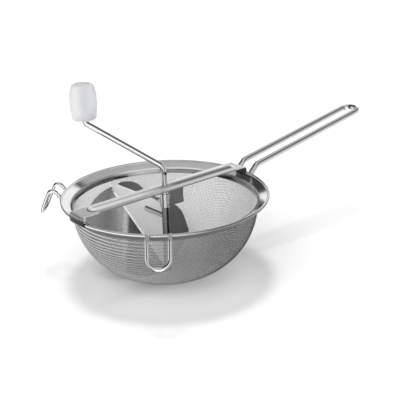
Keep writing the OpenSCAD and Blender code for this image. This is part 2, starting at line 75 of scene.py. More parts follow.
class Nodes:
    """A node tree with short calls for the nodes that the materials share."""

    def __init__(self, name):
        self.material = bpy.data.materials.new(name)
        self.material.use_nodes = True
        self.tree = self.material.node_tree
        self.shader = self.tree.nodes["Principled BSDF"]
        self.place = self.add("ShaderNodeTexCoord").outputs["Object"]

    def add(self, kind, **values):
        node = self.tree.nodes.new(kind)
        for key, value in values.items():
            setattr(node, key, value)
        return node

    def link(self, source, target):
        self.tree.links.new(source, target)

    def fixed(self, socket, value):
        self.shader.inputs[socket].default_value = value

    def varied(self, socket, value):
        self.link(value, self.shader.inputs[socket])

    def stretched(self, scale):
        node = self.add("ShaderNodeMapping")
        node.inputs["Scale"].default_value = scale
        self.link(self.place, node.inputs["Vector"])
        return node.outputs["Vector"]

    def noise(self, scale, detail=3.0, stretch=None):
        node = self.add("ShaderNodeTexNoise")
        node.inputs["Scale"].default_value = scale
        node.inputs["Detail"].default_value = detail
        self.link(self.stretched(stretch) if stretch else self.place, node.inputs["Vector"])
        return node.outputs["Fac"]

    def ranged(self, value, low, high, start=0.3, end=0.7):
        """low where value is start or less, high where it is end or more."""
        node = self.add("ShaderNodeMapRange")
        node.inputs["From Min"].default_value = start
        node.inputs["From Max"].default_value = end
        node.inputs["To Min"].default_value = low
        node.inputs["To Max"].default_value = high
        self.link(value, node.inputs["Value"])
        return node.outputs["Result"]

    def blended(self, value, low, high):
        """A colour from low to high by a noise value."""
        node = self.add("ShaderNodeValToRGB")
        node.color_ramp.elements[0].position = 0.3
        node.color_ramp.elements[1].position = 0.7
        node.color_ramp.elements[0].color = (*low, 1)
        node.color_ramp.elements[1].color = (*high, 1)
        self.link(value, node.inputs["Fac"])
        return node.outputs["Color"]

    def facing(self, direction):
        """1 where the surface faces direction, -1 where it faces away."""
        node = self.add("ShaderNodeVectorMath", operation="DOT_PRODUCT")
        self.link(self.add("ShaderNodeNewGeometry").outputs["Normal"], node.inputs[0])
        node.inputs[1].default_value = Vector(direction).normalized()
        return node.outputs["Value"]

    def along(self, axis):
        """Place on the object along one axis, in metres."""
        node = self.add("ShaderNodeSeparateXYZ")
        self.link(self.place, node.inputs[0])
        return node.outputs[axis]

    def beyond(self, reach):
        """Distance along X past reach on either side, in metres."""
        node = self.add("ShaderNodeMath", operation="ABSOLUTE")
        self.link(self.along("X"), node.inputs[0])
        past = self.add("ShaderNodeMath", operation="SUBTRACT")
        self.link(node.outputs[0], past.inputs[0])
        past.inputs[1].default_value = reach
        return past.outputs[0]

    def distance(self, centre):
        """Distance from the upright line through centre, in metres."""
        flat = self.add("ShaderNodeVectorMath", operation="MULTIPLY")
        self.link(self.place, flat.inputs[0])
        flat.inputs[1].default_value = (1, 1, 0)
        node = self.add("ShaderNodeVectorMath", operation="DISTANCE")
        self.link(flat.outputs[0], node.inputs[0])
        node.inputs[1].default_value = centre
        return node.outputs["Value"]

    def outward(self):
        """1 where the surface faces away from the middle of the bowl's mouth, -1 towards it."""
        arm = self.add("ShaderNodeVectorMath", operation="SUBTRACT")
        self.link(self.place, arm.inputs[0])
        arm.inputs[1].default_value = MOUTH
        unit = self.add("ShaderNodeVectorMath", operation="NORMALIZE")
        self.link(arm.outputs[0], unit.inputs[0])
        dot = self.add("ShaderNodeVectorMath", operation="DOT_PRODUCT")
        self.link(self.add("ShaderNodeNewGeometry").outputs["Normal"], dot.inputs[0])
        self.link(unit.outputs[0], dot.inputs[1])
        return dot.outputs["Value"]

    def rightward(self):
        """Place on the object along SIDE, in metres."""
        dot = self.add("ShaderNodeVectorMath", operation="DOT_PRODUCT")
        self.link(self.place, dot.inputs[0])
        dot.inputs[1].default_value = SIDE
        return dot.outputs["Value"]

    def rows(self):
        """Painted light and dark rows on the cloth round the bowl, fading towards SIDE."""
        height = self.add("ShaderNodeMath", operation="MULTIPLY_ADD")
        self.link(self.along("Z"), height.inputs[0])
        height.inputs[1].default_value = -1 / (BOTTOM_R * MM)
        height.inputs[2].default_value = BOTTOM_Z / BOTTOM_R
        arc = self.add("ShaderNodeMath", operation="ARCCOSINE")
        self.link(height.outputs[0], arc.inputs[0])
        turn = self.add("ShaderNodeMath", operation="MULTIPLY")
        self.link(arc.outputs[0], turn.inputs[0])
        turn.inputs[1].default_value = 2 * math.pi * BOTTOM_R / ROW_MM
        wave = self.add("ShaderNodeMath", operation="SINE")
        self.link(turn.outputs[0], wave.inputs[0])
        low = self.ranged(self.rightward(), ROW_DARK, 1.0, *ROW_FADE)
        return self.either(self.ranged(wave.outputs[0], 0.0, 1.0, -0.6, 0.6), low, 1.0)

    def either(self, choice, first, second):
        """first where choice is 0, second where it is 1."""
        node = self.add("ShaderNodeMix", data_type="FLOAT")
        self.link(choice, node.inputs[0])
        for value, socket in ((first, node.inputs[2]), (second, node.inputs[3])):
            if isinstance(value, float):
                socket.default_value = value
            else:
                self.link(value, socket)
        return node.outputs[0]

    def painted_bands(self, value, low, high, stops):
        """Painted light and shade: a share by value from low to high, through stops of (place from
        0 to 1, share).
        """
        node = self.add("ShaderNodeValToRGB")
        for i, (at, share) in enumerate(stops):
            stop = node.color_ramp.elements[i] if i < 2 else node.color_ramp.elements.new(1.0)
            stop.position = at
            stop.color = (share, share, share, 1)
        self.link(self.ranged(value, 0.0, 1.0, low, high), node.inputs["Fac"])
        return node.outputs["Color"]

    def product(self, a, b):
        node = self.add("ShaderNodeMath", operation="MULTIPLY")
        self.link(a, node.inputs[0])
        self.link(b, node.inputs[1])
        return node.outputs[0]

    def darkened(self, colour, share):
        """Base colour from colour, times share."""
        node = self.add("ShaderNodeVectorMath", operation="SCALE")
        self.link(colour, node.inputs[0])
        self.link(share, node.inputs["Scale"])
        self.varied("Base Color", node.outputs[0])

    def worn(self, grain, stretch, rough, rough_high, bump=0.0):
        """Roughness by fine marks along stretch, and a light bump of the same marks."""
        marks = self.noise(grain, 4.0, stretch)
        self.varied("Roughness", self.ranged(marks, rough, rough_high))
        if bump:
            self.bump(marks, bump)

    def bump(self, value, distance, strength=1.0):
        node = self.add("ShaderNodeBump")
        node.inputs["Distance"].default_value = distance
        node.inputs["Strength"].default_value = strength
        self.link(value, node.inputs["Height"])
        self.varied("Normal", node.outputs["Normal"])


# Level direction along which the painted shade and painted reflections change across the object.
SIDE = (0.764, -0.645, 0.0)

# Sizes in millimetres that the materials and the shapes share.
RIB_END = 91.0
BOTTOM_R, BASE_R = 127.0, 27.4
BOTTOM_Z = math.sqrt(BOTTOM_R ** 2 - BASE_R ** 2)

# Painted light and dark rows on the cloth: their pitch in millimetres, and the dark rows' share of
# the tint.
ROW_MM, ROW_DARK = 4.4, 0.12

# Places in metres, on the object's axes or along SIDE, between which the painted shade, the
# painted reflections and the collar's metallic share change.
MOUTH = (0, 0, 0.1)
ROW_FADE = (-0.07, 0.03)
CLOTH_FADE = (-0.06, 0.07)
COLLAR_METAL_Z, COLLAR_TINT_Z = (0.0844, 0.0856), (0.0848, 0.0856)
COLLAR_ACROSS = (-0.1, 0.1)
BEAD_FADE = (-0.01, 0.05)
BAR_ACROSS = (-0.0116, 0.0116)
BAR_CHANGE_X = (-0.035, 0.015)
BAR_UNDER_Z = (0.0964, 0.0973)
CLIP_X, CLIP_FOOT_Z = (-0.1122, -0.1108), (0.0935, 0.0958)
TIP_RING = (0.0045, 0.0085)
PLATE_ACROSS = (-0.08, -0.035)
LOBE_X = (0.0, 0.002)

# Noise scales of the tints and of rolled sheet, and the stretch of its marks.
TINT_GRAIN = 25.0
SHEET_GRAIN = 40.0
SATIN = 1400.0
ALONG_X, ALONG_Y = (0.06, 1, 1), (1, 0.06, 1)
UP = (0, 0, 1)


def metal(name, dark, bright, rough, rough_high, grain, stretch=None, bump=0.0, painted_reflections=None,
          metallic=1.0):
    """Steel or chrome: a broad tint, roughness by fine marks along stretch, and a light bump.

    The painted reflections are (place from 0 to 1, share): shares of the tint by how far the
    surface faces SIDE, as painted light and dark bands.
    """
    n = Nodes(name)
    n.fixed("Metallic", metallic)
    tint = n.blended(n.noise(TINT_GRAIN, 4.0), dark, bright)
    # Painted reflections: the tint is darkened in bands by how far the surface faces SIDE.
    if painted_reflections:
        n.darkened(tint, n.painted_bands(n.facing(SIDE), -1.0, 1.0, painted_reflections))
    else:
        n.varied("Base Color", tint)
    n.worn(grain, stretch, rough, rough_high, bump)
    return n.material


def plastic(name):
    """Translucent white plastic with a faint moulding texture."""
    n = Nodes(name)
    n.varied("Base Color", n.blended(n.noise(60.0), (0.80, 0.81, 0.83), (0.87, 0.88, 0.89)))
    n.varied("Roughness", n.ranged(n.noise(900.0, 2.0), 0.28, 0.4))
    n.fixed("IOR", 1.46)
    n.fixed("Transmission Weight", 0.45)
    n.fixed("Subsurface Weight", 0.5)
    n.fixed("Subsurface Radius", (1.0, 1.0, 1.0))
    n.fixed("Subsurface Scale", 0.006)
    n.bump(n.noise(700.0, 2.0), 0.00003, 0.6)
    return n.material


def woven_metal(name):
    """Drawn wire: bright inside the bowl; outside, painted light and dark rows and painted shade,
    darker on faces that look down and towards SIDE.
    """
    n = Nodes(name)
    n.fixed("Metallic", 0.55)
    tint = n.blended(n.noise(TINT_GRAIN, 4.0), (0.92, 0.92, 0.92), (1.0, 1.0, 1.0))
    # Painted shade on the outside only: darker on faces that look down and towards SIDE, times the
    # painted rows.
    below = n.ranged(n.facing(UP), 0.5, 1.0, -0.35, 0.25)
    across = n.ranged(n.rightward(), 1.0, 0.04, *CLOTH_FADE)
    outside = n.product(n.product(below, across), n.rows())
    n.darkened(tint, n.either(n.ranged(n.outward(), 0.0, 1.0, -0.15, 0.2), 1.0, outside))
    n.worn(400.0, None, 0.26, 0.36)
    return n.material


def rim_metal(name):
    """Polished flange and bead over a collar, with painted reflections: the collar's outside is
    painted dark, its inside has painted light and dark bands along SIDE, and the outer bead is
    painted darker towards SIDE.
    """
    n = Nodes(name)
    n.varied("Metallic", n.ranged(n.along("Z"), 0.3, 1.0, *COLLAR_METAL_Z))
    tint = n.blended(n.noise(TINT_GRAIN, 4.0), (0.80, 0.80, 0.81), (0.90, 0.90, 0.91))
    # Painted reflections on the collar: light and dark bands along SIDE inside, and a dark tint of
    # 0.14 outside.
    inner = n.painted_bands(n.rightward(), *COLLAR_ACROSS, [
        (0.0, 0.3), (0.18, 0.35), (0.26, 1.0), (0.68, 1.0), (0.76, 0.4), (1.0, 0.4)])
    collar = n.either(n.ranged(n.outward(), 0.0, 1.0, -0.1, 0.1), inner, 0.14)
    # Painted reflection: the outer bead is darkened towards SIDE.
    above = n.either(n.ranged(n.outward(), 0.0, 1.0, 0.2, 0.5), 1.0,
                     n.ranged(n.rightward(), 1.0, 0.3, *BEAD_FADE))
    n.darkened(tint, n.either(n.ranged(n.along("Z"), 0.0, 1.0, *COLLAR_TINT_Z), collar, above))
    n.worn(500.0, None, 0.08, 0.17, 0.000004)
    return n.material


def bridge_metal(name):
    """Polished strip with painted reflections: light and dark bands along the rib, a dark line
    round its end, and painted shade on the underside and the clip.
    """
    n = Nodes(name)
    n.fixed("Metallic", 0.55)
    tint = n.blended(n.noise(TINT_GRAIN, 4.0), (0.86, 0.86, 0.87), (0.95, 0.95, 0.96))
    # Painted reflections: light and dark bands across the strip's width, one set for its left part
    # and one for its right.
    left = n.painted_bands(n.along("Y"), *BAR_ACROSS, [
        (0.0, 0.3), (0.03, 0.35), (0.07, 0.58), (0.21, 0.55), (0.27, 0.8), (0.31, 1.0),
        (0.38, 1.0), (0.44, 0.6), (0.62, 0.6), (0.74, 0.85), (0.8, 1.0), (1.0, 1.0)])
    right = n.painted_bands(n.along("Y"), *BAR_ACROSS, [
        (0.0, 0.3), (0.03, 0.35), (0.07, 0.7), (0.21, 0.85), (0.26, 0.75), (0.31, 0.2),
        (0.38, 0.2), (0.45, 0.45), (0.62, 0.55), (0.74, 0.85), (0.8, 1.0), (1.0, 1.0)])
    rib = n.either(n.ranged(n.along("X"), 0.0, 1.0, *BAR_CHANGE_X), left, right)
    past_end = n.ranged(n.beyond(RIB_END * MM), 0.0, 1.0, 0.0, 0.002)
    # Painted reflection: a dark line round the rib's end.
    tip = n.painted_bands(n.distance((-RIB_END * MM, 0, 0)), *TIP_RING, [
        (0.0, 1.0), (0.2, 0.9), (0.35, 0.15), (0.6, 0.15), (0.8, 0.75), (1.0, 0.75)])
    # Painted shade: the underside and the clip's foot are darkened.
    clip = n.either(n.ranged(n.along("X"), 1.0, 0.0, *CLIP_X),
                    n.ranged(n.along("Z"), 0.12, 1.0, *BAR_UNDER_Z),
                    n.ranged(n.along("Z"), 0.02, 0.4, *CLIP_FOOT_Z))
    n.darkened(tint, n.product(n.either(past_end, rib, tip), clip))
    n.worn(900.0, (0.05, 1, 1), 0.1, 0.2, 0.000004)
    return n.material


def web_metal(name, flat_from=0.3, under=1.0, upright=1.0):
    """Satin sheet with painted reflections: faces that look up are painted dark; upright and under
    are the painted shares of the other faces.

    flat_from is how far a face looks up where its painted darkening starts.
    """
    n = Nodes(name)
    n.fixed("Metallic", 0.05)
    tint = n.blended(n.noise(SHEET_GRAIN, 4.0), (0.93, 0.93, 0.93), (1.0, 1.0, 1.0))
    # Painted reflection and painted shade: faces that look up are darkened, faces that look down
    # take the share under.
    up = n.facing(UP)
    n.darkened(tint, n.product(n.ranged(up, upright, 0.04, flat_from, 0.8),
                               n.ranged(up, under, 1.0, -0.7, -0.3)))
    n.worn(SATIN, ALONG_Y, 0.34, 0.46, 0.000006)
    return n.material


def plate_metal(name):
    """Satin press plate with painted reflections: a light band and a dark wedge along SIDE, and
    the lobe on the far side of the web painted darker.
    """
    n = Nodes(name)
    n.fixed("Metallic", 1.0)
    tint = n.blended(n.noise(SHEET_GRAIN, 4.0), (0.72, 0.72, 0.73), (0.82, 0.82, 0.83))
    # Painted reflections: a light band and a dark wedge along SIDE; past LOBE_X the lobe is
    # painted dark at 0.27.
    painted_sheen = n.painted_bands(n.rightward(), *PLATE_ACROSS, [
        (0.0, 0.62), (0.3, 0.45), (0.5, 0.6), (0.64, 0.72), (0.70, 0.95), (0.76, 0.95),
        (0.82, 0.2), (1.0, 0.16)])
    n.darkened(tint, n.either(n.ranged(n.along("X"), 0.0, 1.0, *LOBE_X), painted_sheen, 0.27))
    n.worn(SATIN, ALONG_X, 0.2, 0.34, 0.000006)
    return n.material


WOVEN = woven_metal("woven_wire")
RIM = rim_metal("rim_polished")
# The bands given to the clamp band are painted reflections.
BAND = metal("band_polished", (0.76, 0.76, 0.77), (0.84, 0.84, 0.85), 0.08, 0.17, 500.0,
             painted_reflections=[(0.0, 0.4), (0.2, 0.4), (0.3, 1.0), (0.68, 1.0), (0.76, 0.4), (0.88, 0.16),
                      (1.0, 0.16)])
# The bands given to the chrome are painted reflections.
CHROME = metal("chrome_bright", (0.90, 0.90, 0.91), (0.97, 0.97, 0.98), 0.03, 0.08, 300.0,
               painted_reflections=[(0.0, 0.9), (0.20, 0.9), (0.25, 0.08), (0.36, 0.08), (0.40, 1.0),
                        (0.645, 1.0), (0.67, 0.18), (0.73, 0.18), (0.77, 0.6), (1.0, 0.5)])
# The bands given to the hub tube are painted reflections.
HUB = metal("hub_bright", (0.84, 0.84, 0.85), (0.92, 0.92, 0.93), 0.04, 0.1, 300.0,
            painted_reflections=[(0.0, 0.2), (0.12, 0.4), (0.35, 0.22), (0.5, 0.42), (0.62, 0.2), (0.68, 0.02),
                     (0.88, 0.02), (0.96, 0.12), (1.0, 0.2)])
BRIDGE = bridge_metal("bridge_polished")
# WEB and RIB: faces that look up are painted dark as a painted reflection; RIB's underside carries
# painted shade.
WEB = web_metal("web_satin")
RIB = web_metal("rib_satin", flat_from=0.45, under=0.05, upright=0.6)
PLATE = plate_metal("plate_satin")
# The leaf's whole tint is painted dark, as a painted reflection.
LEAF = metal("leaf_painted_dark_reflection", (0.10, 0.10, 0.11), (0.16, 0.16, 0.17), 0.18, 0.3, SATIN, ALONG_X,
             0.000006)
# The fold beads are painted near white with little metal, as a painted highlight along the folds.
FOLD = metal("fold_painted_highlight", (0.95, 0.95, 0.95), (1.0, 1.0, 1.0), 0.12, 0.25, 1200.0,
             metallic=0.1)
SPRING = metal("spring_dark", (0.30, 0.30, 0.31), (0.42, 0.42, 0.43), 0.25, 0.4, 900.0)
KNOB = plastic("frosted_plastic")

# ---- shapes in millimetres -------------------------------------------------------------------

DOME_STEPS, DOME_DEPTH = 5, 0.5
LOOP_STEPS = 32
SEAM = 1e-6
SHARP, ROUND_SHARP = 32.0, 50.0


def sind(a):
    return math.sin(math.radians(a))


def cosd(a):
    return math.cos(math.radians(a))


def tand(a):
    return math.tan(math.radians(a))


def corner(p, q, s, r, n=12):
    """The corner at q between p and s, rounded to radius r, as points of an arc."""
    p, q, s = Vector(p[:2]), Vector(q[:2]), Vector(s[:2])
    a, b = (p - q).normalized(), (s - q).normalized()
    half = a.angle(b) / 2
    mid = q + (a + b).normalized() * r / math.sin(half)
    first, last = q + a * r / math.tan(half) - mid, q + b * r / math.tan(half) - mid
    start = math.atan2(first.y, first.x)
    sweep = math.atan2(last.y, last.x) - start
    sweep = (sweep + math.pi) % (2 * math.pi) - math.pi
    angles = [start + sweep * i / n for i in range(n + 1)]
    return [(mid.x + r * math.cos(a), mid.y + r * math.sin(a)) for a in angles]


def rounded(points, n=8):
    """A closed outline of (x, y, radius) with its corners rounded."""
    out = []
    for i, q in enumerate(points):
        p, s = points[i - 1], points[(i + 1) % len(points)]
        out += corner(p, q, s, q[2], n) if q[2] > 0 else [q[:2]]
    return out


def bent(points, bends, n=14):
    """An open path with its inner corners rounded."""
    out = [points[0]]
    for i in range(1, len(points) - 1):
        out += corner(points[i - 1], points[i], points[i + 1], bends[i - 1], n)
    return out + [points[-1]]


def filled(points, step):
    """An open path with points no further apart than step."""
    out = [points[0]]
    for a, b in zip(points, points[1:]):
        n = max(1, math.ceil(math.dist(a, b) / step))
        out += [tuple(p + (q - p) * k / n for p, q in zip(a, b)) for k in range(1, n + 1)]
    return out


def path_frames(points, y=0.0):
    """Frames (place, direction, up) along a path of (x, z) in the plane at y."""
    out = []
    for i, (x, z) in enumerate(points):
        a, b = points[max(i - 1, 0)], points[min(i + 1, len(points) - 1)]
        d = Vector((b[0] - a[0], 0, b[1] - a[1])).normalized()
        out.append((Vector((x, y, z)), d, Vector((-d.z, 0, d.x))))
    return out


def loop_frames(points, gap):
    """Out along the path, round a half ring at its end, and back, the two runs gap apart."""
    out, back = path_frames(points, -gap / 2), path_frames(points, gap / 2)
    mid = (out[-1][0] + back[-1][0]) / 2
    ahead, up = out[-1][1], out[-1][2]
    side = Vector((0, 1, 0))
    ring = []
    for i in range(1, LOOP_STEPS):
        a = math.pi * i / LOOP_STEPS - math.pi / 2
        ring.append((mid + gap / 2 * (math.cos(a) * ahead + math.sin(a) * side),
                     -math.sin(a) * ahead + math.cos(a) * side, up))
    return out + ring + [(c, -d, u) for c, d, u in reversed(back)]


def swept(frames, radius, sides):
    """Round wire along frames, with shallow domed ends."""
    quarter = [math.pi / 2 * k / DOME_STEPS for k in range(1, DOME_STEPS)]
    dome = [(radius * DOME_DEPTH * math.sin(a), radius * math.cos(a)) for a in quarter]
    c, d, u = frames[0]
    head = [(c - d * out, d, u, r) for out, r in reversed(dome)]
    c, d, u = frames[-1]
    tail = [(c + d * out, d, u, r) for out, r in dome]
    rings = head + [(c, d, u, radius) for c, d, u in frames] + tail
    verts, faces = [], []
    for c, d, u, r in rings:
        w = u.cross(d)
        for k in range(sides):
            a = 2 * math.pi * k / sides
            verts.append(c + r * (math.cos(a) * u + math.sin(a) * w))
    for i in range(len(rings) - 1):
        for k in range(sides):
            m = (k + 1) % sides
            faces.append((i * sides + k, i * sides + m, (i + 1) * sides + m, (i + 1) * sides + k))
    faces.append(tuple(range(sides - 1, -1, -1)))
    faces.append(tuple((len(rings) - 1) * sides + k for k in range(sides)))
    return verts, faces


def revolved(profile, steps):
    """A closed profile of (radius, height) turned about Z, without faces along the axis."""
    n = len(profile)
    verts, faces = [], []
    for i in range(steps):
        a = 2 * math.pi * i / steps
        verts += [Vector((r * math.cos(a), r * math.sin(a), z)) for r, z in profile]
    for i in range(steps):
        j = (i + 1) % steps
        for k in range(n):
            m = (k + 1) % n
            if profile[k][0] < SEAM and profile[m][0] < SEAM:
                continue
            faces.append((i * n + k, j * n + k, j * n + m, i * n + m))
    return verts, faces


def joined(*shapes):
    verts, faces = [], []
    for v, f in shapes:
        faces += [tuple(i + len(verts) for i in face) for face in f]
        verts += v
    return verts, faces


def turned(shape, degrees=0.0, shift=(0, 0, 0)):
    """Moved by shift, then turned about Z."""
    m = Matrix.Rotation(math.radians(degrees), 3, "Z")
    return [m @ (Vector(v) + Vector(shift)) for v in shape[0]], shape[1]


def put(name, shape, material, body, replaces=(), sharp=SHARP):
    """A piece from vertices in millimetres, on its body; edges over sharp degrees stay hard."""
    mesh = bpy.data.meshes.new(name)
    mesh.from_pydata([tuple(c * MM for c in v) for v in shape[0]], [], shape[1])
    bm = bmesh.new()
    bm.from_mesh(mesh)
    bmesh.ops.remove_doubles(bm, verts=bm.verts, dist=SEAM / 10)
    bmesh.ops.recalc_face_normals(bm, faces=bm.faces)
    bm.to_mesh(mesh)
    bm.free()
    mesh.materials.append(material)
    mesh.polygons.foreach_set("use_smooth", [True] * len(mesh.polygons))
    mesh.set_sharp_from_angle(angle=math.radians(sharp))
    obj = bpy.data.objects.new(name, mesh)
    scene.collection.objects.link(obj)
    finish_piece(obj, body, replaces)
    return obj


def finish_piece(obj, body, replaces):
    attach(obj, body)
    if replaces:
        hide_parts(*replaces)


# ---- the sieve's values, as in the part's source ---------------------------------------------

CLOTH_R, CLOTH_T, SHOULDER_R = 99.6, 0.6, 80.0
SHOULDER_X = CLOTH_R - SHOULDER_R
SHOULDER_Z = BOTTOM_Z - math.sqrt((BOTTOM_R - SHOULDER_R) ** 2 - SHOULDER_X ** 2)
FLANGE_Z = SHOULDER_Z + 2.9
RING_T, COLLAR_H, BEAD_R = 0.7, 4.5, 1.5
BEAD_X, BEAD_Z = CLOTH_R + 10.9, FLANGE_Z + 5.4
RIM_H, RIM_R = BEAD_Z + BEAD_R, BEAD_X + BEAD_R
FLANGE_X = CLOTH_R + RING_T / 2
FLANGE_SLOPE = math.degrees(math.atan2(BEAD_Z - FLANGE_Z, BEAD_X - FLANGE_X))
BAND_H, BAND_T, GAP = 5.0, 0.5, 0.05
RING_STEPS, RING_SHARP = 256, 40
UNDER_BEND, OVER_BEND, BEND_FROM = 2.5, 3.2, FLANGE_Z - 2.4

# ---- woven cloth -----------------------------------------------------------------------------

PITCH = 1.85
WIRE_UP, WIRE_ACROSS, WAVE = 0.2, 0.42, 0.1
WIRE_SIDES = 6
WEAVE_ANGLE = 20.0
PIECE_TRIANGLES = 180000
NET_SHARE = 0.79
ALONG_ROUNDS, CROSSING_ROUNDS = 12, 10
CROSSING_MISS = 1e-3
CLOTH_TOP = FLANGE_Z - 0.1
LEAST_CROSSINGS = 4


def bowl_side(points, inset):
    """Signed distance of points from the bowl's surface at inset, and the outward direction."""
    x, y, z = points[:, 0], points[:, 1], points[:, 2]
    r = np.maximum(np.hypot(x, y), 1e-9)
    knee = math.atan2(SHOULDER_X, BOTTOM_Z - SHOULDER_Z)
    low = np.stack([r, z - BOTTOM_Z], 1)
    high = np.stack([r - SHOULDER_X, z - SHOULDER_Z], 1)
    low_d, high_d = np.linalg.norm(low, axis=1), np.linalg.norm(high, axis=1)
    dist, grad = low_d - (BOTTOM_R - inset), low / low_d[:, None]
    flat = inset - z > dist
    dist = np.where(flat, inset - z, dist)
    grad = np.where(flat[:, None], np.array([[0.0, -1.0]]), grad)
    side = np.arctan2(high[:, 0], -high[:, 1]) > knee
    dist = np.where(side, high_d - (SHOULDER_R - inset), dist)
    grad = np.where(side[:, None], high / high_d[:, None], grad)
    top = z > SHOULDER_Z
    dist = np.where(top, r - (CLOTH_R - inset), dist)
    grad = np.where(top[:, None], np.array([[1.0, 0.0]]), grad)
    return dist, np.stack([grad[:, 0] * x / r, grad[:, 0] * y / r, grad[:, 1]], 1)


def too_long(points, others):
    """Squared distance beyond one pitch between crossings."""
    return ((points - others) ** 2).sum(1) - PITCH ** 2


def net_quarter(count, inset):
    """Crossings of one quarter of a net of equal wire lengths, laid over the bowl."""
    grid = np.full((count, count, 3), np.nan)
    grid[0, 0] = (0, 0, inset)
    last, ahead = grid[0, 0].copy(), np.array([PITCH, 0, 0])
    for i in range(1, count):
        p = last + ahead
        for _ in range(ALONG_ROUNDS):
            dist, grad = bowl_side(p[None], inset)
            p = p - dist[0] * grad[0]
            step = p - last
            p = last + step * PITCH / np.linalg.norm(step)
        p[1] = 0.0
        ahead, last = p - last, p.copy()
        grid[i, 0] = p
        grid[0, i] = p[[1, 0, 2]]
    for total in range(2, 2 * count - 1):
        i = np.arange(max(1, total - count + 1), min(count, total))
        j = total - i
        a, b, c = grid[i - 1, j], grid[i, j - 1], grid[i - 1, j - 1]
        below_rim = np.minimum(a[:, 2], b[:, 2]) < FLANGE_Z + 4
        good = ~np.isnan(a + b + c).any(axis=1) & below_rim
        i, j, a, b, c = i[good], j[good], a[good], b[good], c[good]
        if not len(i):
            break
        p = a + b - c
        for _ in range(CROSSING_ROUNDS):
            dist, grad = bowl_side(p, inset)
            rows = np.stack([2 * (p - a), 2 * (p - b), grad], 1) + 1e-9 * np.eye(3)
            miss = np.stack([too_long(p, a), too_long(p, b), dist], 1)
            p = p - np.clip(np.linalg.solve(rows, miss[..., None])[..., 0], -PITCH / 2, PITCH / 2)
        p[np.abs(too_long(p, a)) + np.abs(too_long(p, b)) > CROSSING_MISS] = np.nan
        grid[i, j] = p
    return grid


def woven_wire(line, wave, inset):
    """One flattened wire through the crossings of line, as rings of points."""
    _, out = bowl_side(line, inset)
    tangent = np.gradient(line, axis=0)
    tangent /= np.linalg.norm(tangent, axis=1)[:, None]
    side = np.cross(out, tangent)
    side /= np.linalg.norm(side, axis=1)[:, None]
    centre = line + out * wave[:, None] * WAVE
    angles = 2 * math.pi * np.arange(WIRE_SIDES) / WIRE_SIDES
    return (centre[:, None] + WIRE_UP * np.cos(angles)[None, :, None] * out[:, None]
            + WIRE_ACROSS * np.sin(angles)[None, :, None] * side[:, None])


def add_wires(name, wires):
    verts, quads, base = [], [], 0
    j = np.arange(WIRE_SIDES)[None, :]
    m = (j + 1) % WIRE_SIDES
    for ring in wires:
        start = base + np.arange(len(ring) - 1)[:, None] * WIRE_SIDES
        ahead = start + WIRE_SIDES
        quads.append(np.stack([start + j, ahead + j, ahead + m, start + m], -1).reshape(-1, 4))
        verts.append(ring.reshape(-1, 3))
        base += len(ring) * WIRE_SIDES
    verts, quads = np.concatenate(verts) * MM, np.concatenate(quads)
    mesh = bpy.data.meshes.new(name)
    mesh.vertices.add(len(verts))
    mesh.vertices.foreach_set("co", verts.ravel())
    mesh.loops.add(quads.size)
    mesh.loops.foreach_set("vertex_index", quads.ravel())
    mesh.polygons.add(len(quads))
    mesh.polygons.foreach_set("loop_start", np.arange(0, quads.size, 4))
    mesh.polygons.foreach_set("use_smooth", np.ones(len(quads), dtype=bool))
    mesh.update(calc_edges=True)
    mesh.validate()
    mesh.materials.append(WOVEN)
    obj = bpy.data.objects.new(name, mesh)
    scene.collection.objects.link(obj)
    finish_piece(obj, "sieve", ["wire_cloth_bowl"])


def woven_cloth():
    """Every wire of the cloth, over and under its neighbours, in pieces of like size."""
    inset = CLOTH_T / 2
    count = int(math.pi * BOTTOM_R / 2 * NET_SHARE / PITCH) + 1
    quarter = net_quarter(count, inset)
    index = np.arange(1 - count, count)
    grid = quarter[np.abs(index)[:, None], np.abs(index)[None, :]].copy()
    grid[..., 0] *= np.where(index < 0, -1, 1)[:, None]
    grid[..., 1] *= np.where(index < 0, -1, 1)[None, :]
    turn = math.radians(WEAVE_ANGLE)
    spin = np.array([[math.cos(turn), -math.sin(turn), 0],
                     [math.sin(turn), math.cos(turn), 0], [0, 0, 1]])
    grid = grid @ spin.T
    inside = ~np.isnan(grid[..., 0]) & (np.nan_to_num(grid[..., 2], nan=1e3) <= CLOTH_TOP)
    sign = np.where((index[:, None] + index[None, :]) % 2 == 0, 1.0, -1.0)
    for run, name in enumerate(("warp", "weft")):
        wires = []
        for k in range(len(index)):
            pick = (slice(None), k) if run == 0 else (k, slice(None))
            keep = inside[pick]
            if keep.sum() >= LEAST_CROSSINGS:
                wires.append(woven_wire(grid[pick][keep], (1 - 2 * run) * sign[pick][keep], inset))
        total = sum(len(w) for w in wires)
        parts = math.ceil(total * WIRE_SIDES * 2 / PIECE_TRIANGLES)
        passed = np.cumsum([len(w) for w in wires])
        for part in range(parts):
            chosen = [w for w, at in zip(wires, passed)
                      if part * total / parts < at <= (part + 1) * total / parts]
            add_wires(f"woven_{name}_{part + 1}", chosen)


woven_cloth()

# ---- rim ring --------------------------------------------------------------------------------


